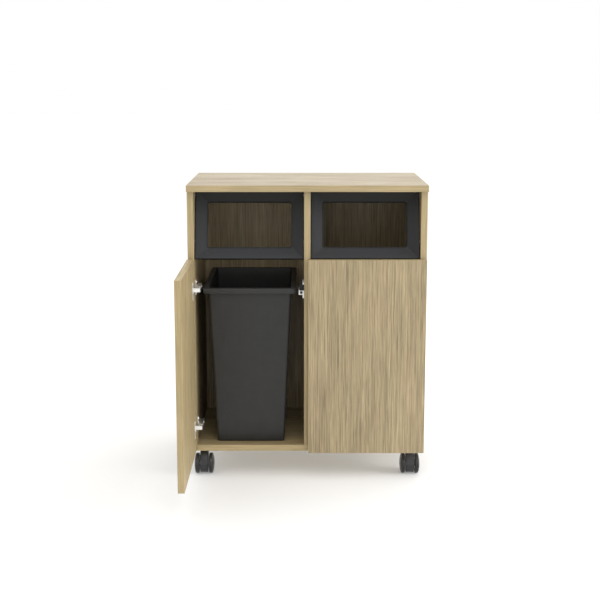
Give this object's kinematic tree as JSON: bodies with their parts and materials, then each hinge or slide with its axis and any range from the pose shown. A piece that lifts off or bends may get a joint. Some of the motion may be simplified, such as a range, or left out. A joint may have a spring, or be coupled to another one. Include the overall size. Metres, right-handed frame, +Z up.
{
  "type": "recycling bin station",
  "caption": "Wheeled light-oak laminate cabinet with paired bays: tilted black hopper frames above hinged doors that hide tapered waste bins.",
  "frame": {"origin": "on the floor, at the centre of the ground that the station covers with its left door open square to the front", "axes": "+X to the right as seen from the front, +Y from the doors to the back panel, +Z up"},
  "size_m": [0.713, 0.7656, 0.9],
  "materials": {
    "oak_laminate": "satin light oak laminate",
    "dowel_beech": "raw beech",
    "zinc_screw": "bright zinc plate",
    "hopper_black": "fine satin moulding",
    "pin_steel": "bright steel",
    "hinge_nickel": "bright nickel plate",
    "latch_white": "white moulding",
    "latch_dark": "dark moulding",
    "buffer_rubber": "soft black rubber",
    "bin_black": "fine textured black moulding",
    "caster_plate_steel": "zinc plate",
    "caster_grey": "dark grey nylon",
    "wheel_grey": "dark grey nylon",
    "strike_steel": "zinc plate"
  },
  "bodies": {
    "cabinet": {"top_panel": "oak_laminate", "side_panel_left": "oak_laminate", "side_panel_right": "oak_laminate", "centre_divider": "oak_laminate", "bottom_panel": "oak_laminate", "back_panel": "oak_laminate", "carcass_dowels": "dowel_beech", "back_screws": "zinc_screw", "hopper_frame_left": "hopper_black", "hopper_frame_right": "hopper_black", "hopper_frame_pins": "pin_steel", "hinge_arms_left": "hinge_nickel", "hinge_arms_right": "hinge_nickel", "hinge_plates_left": "hinge_nickel", "hinge_plates_right": "hinge_nickel", "hinge_screws": "hinge_nickel", "latch_plate_left": "latch_white", "latch_plate_right": "latch_white", "latch_housing_left": "latch_white", "latch_housing_right": "latch_white", "door_buffer_left": "buffer_rubber", "door_buffer_right": "buffer_rubber", "latch_screws": "zinc_screw", "bin_right": "bin_black", "caster_plate_front_left": "caster_plate_steel", "caster_plate_front_right": "caster_plate_steel", "caster_plate_rear_left": "caster_plate_steel", "caster_plate_rear_right": "caster_plate_steel", "caster_screws": "zinc_screw"},
    "door_left": {"door_left": "oak_laminate", "hinge_cups_left": "hinge_nickel", "hinge_pins_left": "hinge_nickel", "hinge_cup_screws_left": "hinge_nickel", "latch_strike_left": "strike_steel"},
    "door_right": {"door_right": "oak_laminate", "hinge_cups_right": "hinge_nickel", "hinge_pins_right": "hinge_nickel", "hinge_cup_screws_right": "hinge_nickel", "latch_strike_right": "strike_steel"},
    "latch_plunger_left": {"latch_plunger_left": "latch_dark"},
    "latch_plunger_right": {"latch_plunger_right": "latch_dark"},
    "bin_left": {"bin_left": "bin_black"},
    "caster_swivel_front_left": {"caster_hood_front_left": "caster_grey", "caster_axle_front_left": "caster_plate_steel"},
    "outer_wheel_front_left": {"outer_wheel_front_left": "wheel_grey"},
    "inner_wheel_front_left": {"inner_wheel_front_left": "wheel_grey"},
    "caster_swivel_front_right": {"caster_hood_front_right": "caster_grey", "caster_axle_front_right": "caster_plate_steel"},
    "outer_wheel_front_right": {"outer_wheel_front_right": "wheel_grey"},
    "inner_wheel_front_right": {"inner_wheel_front_right": "wheel_grey"},
    "caster_swivel_rear_left": {"caster_hood_rear_left": "caster_grey", "caster_axle_rear_left": "caster_plate_steel"},
    "outer_wheel_rear_left": {"outer_wheel_rear_left": "wheel_grey"},
    "inner_wheel_rear_left": {"inner_wheel_rear_left": "wheel_grey"},
    "caster_swivel_rear_right": {"caster_hood_rear_right": "caster_grey", "caster_axle_rear_right": "caster_plate_steel"},
    "outer_wheel_rear_right": {"outer_wheel_rear_right": "wheel_grey"},
    "inner_wheel_rear_right": {"inner_wheel_rear_right": "wheel_grey"}
  },
  "joints": [
    {"name": "door_left_hinge", "type": "hinge", "parent": "cabinet", "child": "door_left", "pos_m": [-0.3475, -0.03825, 0.3815], "axis": [0, 0, -1], "range_deg": [-90, 5]},
    {"name": "door_right_hinge", "type": "hinge", "parent": "cabinet", "child": "door_right", "pos_m": [0.3475, -0.03825, 0.3815], "axis": [0, 0, 1], "range_deg": [0, 95]},
    {"name": "bin_left_slide", "type": "slide", "parent": "cabinet", "child": "bin_left", "axis": [0, -1, 0], "range_m": [0, 0.35]},
    {"name": "latch_plunger_left_press", "type": "slide", "parent": "cabinet", "child": "latch_plunger_left", "axis": [0, 1, 0], "range_m": [0, 0.0022], "stiffness_N_per_m": 300, "springref_m": -0.004},
    {"name": "latch_plunger_right_press", "type": "slide", "parent": "cabinet", "child": "latch_plunger_right", "axis": [0, 1, 0], "range_m": [0, 0.0022], "stiffness_N_per_m": 300, "springref_m": -0.004},
    {"name": "caster_front_left_swivel", "type": "hinge", "parent": "cabinet", "child": "caster_swivel_front_left", "pos_m": [-0.318, 0.03575, 0.084], "axis": [0, 0, 1], "continuous": true},
    {"name": "outer_wheel_front_left_spin", "type": "hinge", "parent": "caster_swivel_front_left", "child": "outer_wheel_front_left", "pos_m": [-0.318, 0.01675, 0.031], "axis": [1, 0, 0], "continuous": true},
    {"name": "inner_wheel_front_left_spin", "type": "hinge", "parent": "caster_swivel_front_left", "child": "inner_wheel_front_left", "pos_m": [-0.318, 0.01675, 0.031], "axis": [1, 0, 0], "continuous": true},
    {"name": "caster_front_right_swivel", "type": "hinge", "parent": "cabinet", "child": "caster_swivel_front_right", "pos_m": [0.318, 0.03575, 0.084], "axis": [0, 0, 1], "continuous": true},
    {"name": "outer_wheel_front_right_spin", "type": "hinge", "parent": "caster_swivel_front_right", "child": "outer_wheel_front_right", "pos_m": [0.318, 0.01675, 0.031], "axis": [1, 0, 0], "continuous": true},
    {"name": "inner_wheel_front_right_spin", "type": "hinge", "parent": "caster_swivel_front_right", "child": "inner_wheel_front_right", "pos_m": [0.318, 0.01675, 0.031], "axis": [1, 0, 0], "continuous": true},
    {"name": "caster_rear_left_swivel", "type": "hinge", "parent": "cabinet", "child": "caster_swivel_rear_left", "pos_m": [-0.318, 0.32075, 0.084], "axis": [0, 0, 1], "continuous": true},
    {"name": "outer_wheel_rear_left_spin", "type": "hinge", "parent": "caster_swivel_rear_left", "child": "outer_wheel_rear_left", "pos_m": [-0.318, 0.30175, 0.031], "axis": [1, 0, 0], "continuous": true},
    {"name": "inner_wheel_rear_left_spin", "type": "hinge", "parent": "caster_swivel_rear_left", "child": "inner_wheel_rear_left", "pos_m": [-0.318, 0.30175, 0.031], "axis": [1, 0, 0], "continuous": true},
    {"name": "caster_rear_right_swivel", "type": "hinge", "parent": "cabinet", "child": "caster_swivel_rear_right", "pos_m": [0.318, 0.32075, 0.084], "axis": [0, 0, 1], "continuous": true},
    {"name": "outer_wheel_rear_right_spin", "type": "hinge", "parent": "caster_swivel_rear_right", "child": "outer_wheel_rear_right", "pos_m": [0.318, 0.30175, 0.031], "axis": [1, 0, 0], "continuous": true},
    {"name": "inner_wheel_rear_right_spin", "type": "hinge", "parent": "caster_swivel_rear_right", "child": "inner_wheel_rear_right", "pos_m": [0.318, 0.30175, 0.031], "axis": [1, 0, 0], "continuous": true}
  ]
}
